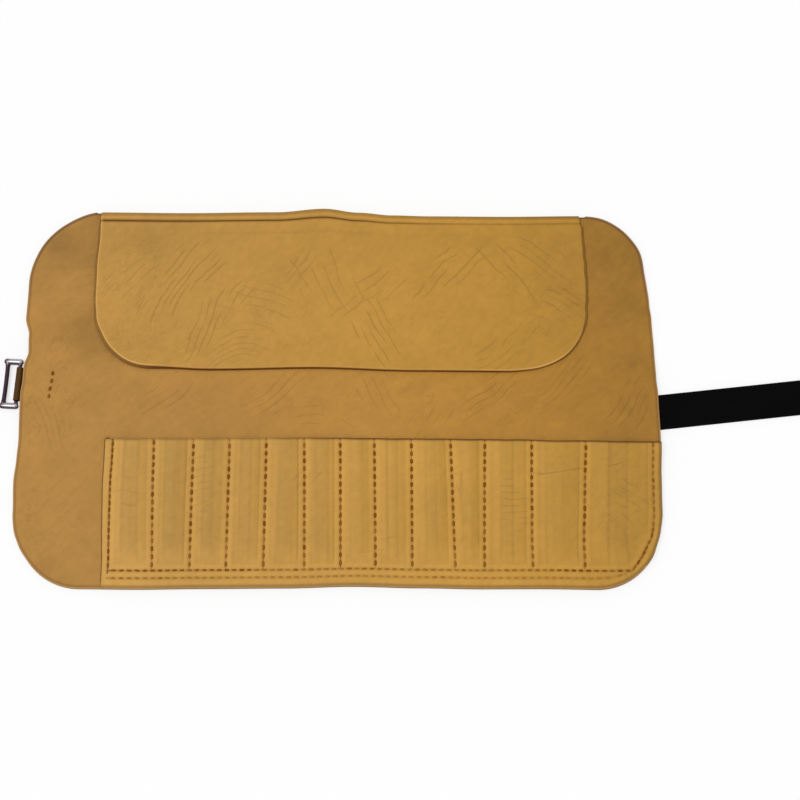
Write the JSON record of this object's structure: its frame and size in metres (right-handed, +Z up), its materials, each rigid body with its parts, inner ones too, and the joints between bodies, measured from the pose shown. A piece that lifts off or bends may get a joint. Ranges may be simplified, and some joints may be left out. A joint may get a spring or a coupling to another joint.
{
  "type": "pencil case",
  "caption": "Open roll-up leather pencil case: a sheet with rounded corners, a folded top flap, a sewn row of pencil pockets, and a tie strap with a metal ring.",
  "frame": {"origin": "the point under the middle of the open case, on the surface that it lies on; the strap's underside covers it", "axes": "+X to the right along the case's length, +Y from the pockets to the flap's fold, +Z up from the surface"},
  "size_m": [0.5282, 0.218, 0.0106],
  "materials": {
    "sheet_leather": "satin",
    "pocket_leather": "satin",
    "strap_leather": "satin",
    "thread": "matte",
    "nickel": "polished"
  },
  "bodies": {
    "sheet": {"main_panel": "sheet_leather", "pocket_panel": "pocket_leather", "flap_fold": "sheet_leather", "divider_stitches": "thread", "edge_stitches": "thread", "base_stitches": "thread", "strap_anchor": "strap_leather", "anchor_stitches": "thread"},
    "flap": {"top_flap": "sheet_leather"},
    "tail": {"strap_tail": "strap_leather"},
    "ring": {"ring": "nickel"}
  },
  "joints": [
    {"name": "flap_fold_hinge", "type": "hinge", "parent": "sheet", "child": "flap", "pos_m": [0, 0.10685, 0.00445], "axis": [-1, 0, 0], "range_deg": [0, 180], "deforming": ["flap_fold"]},
    {"name": "strap_wrap", "type": "hinge", "parent": "sheet", "child": "tail", "pos_m": [-0.16081, 0.0052, 0], "axis": [0.0523, 0.9986, 0], "range_deg": [0, 150]},
    {"name": "ring_swing", "type": "hinge", "parent": "sheet", "child": "ring", "pos_m": [-0.18378, 0.0064, 0.00185], "axis": [0.0523, 0.9986, 0], "range_deg": [-88, 90]}
  ]
}
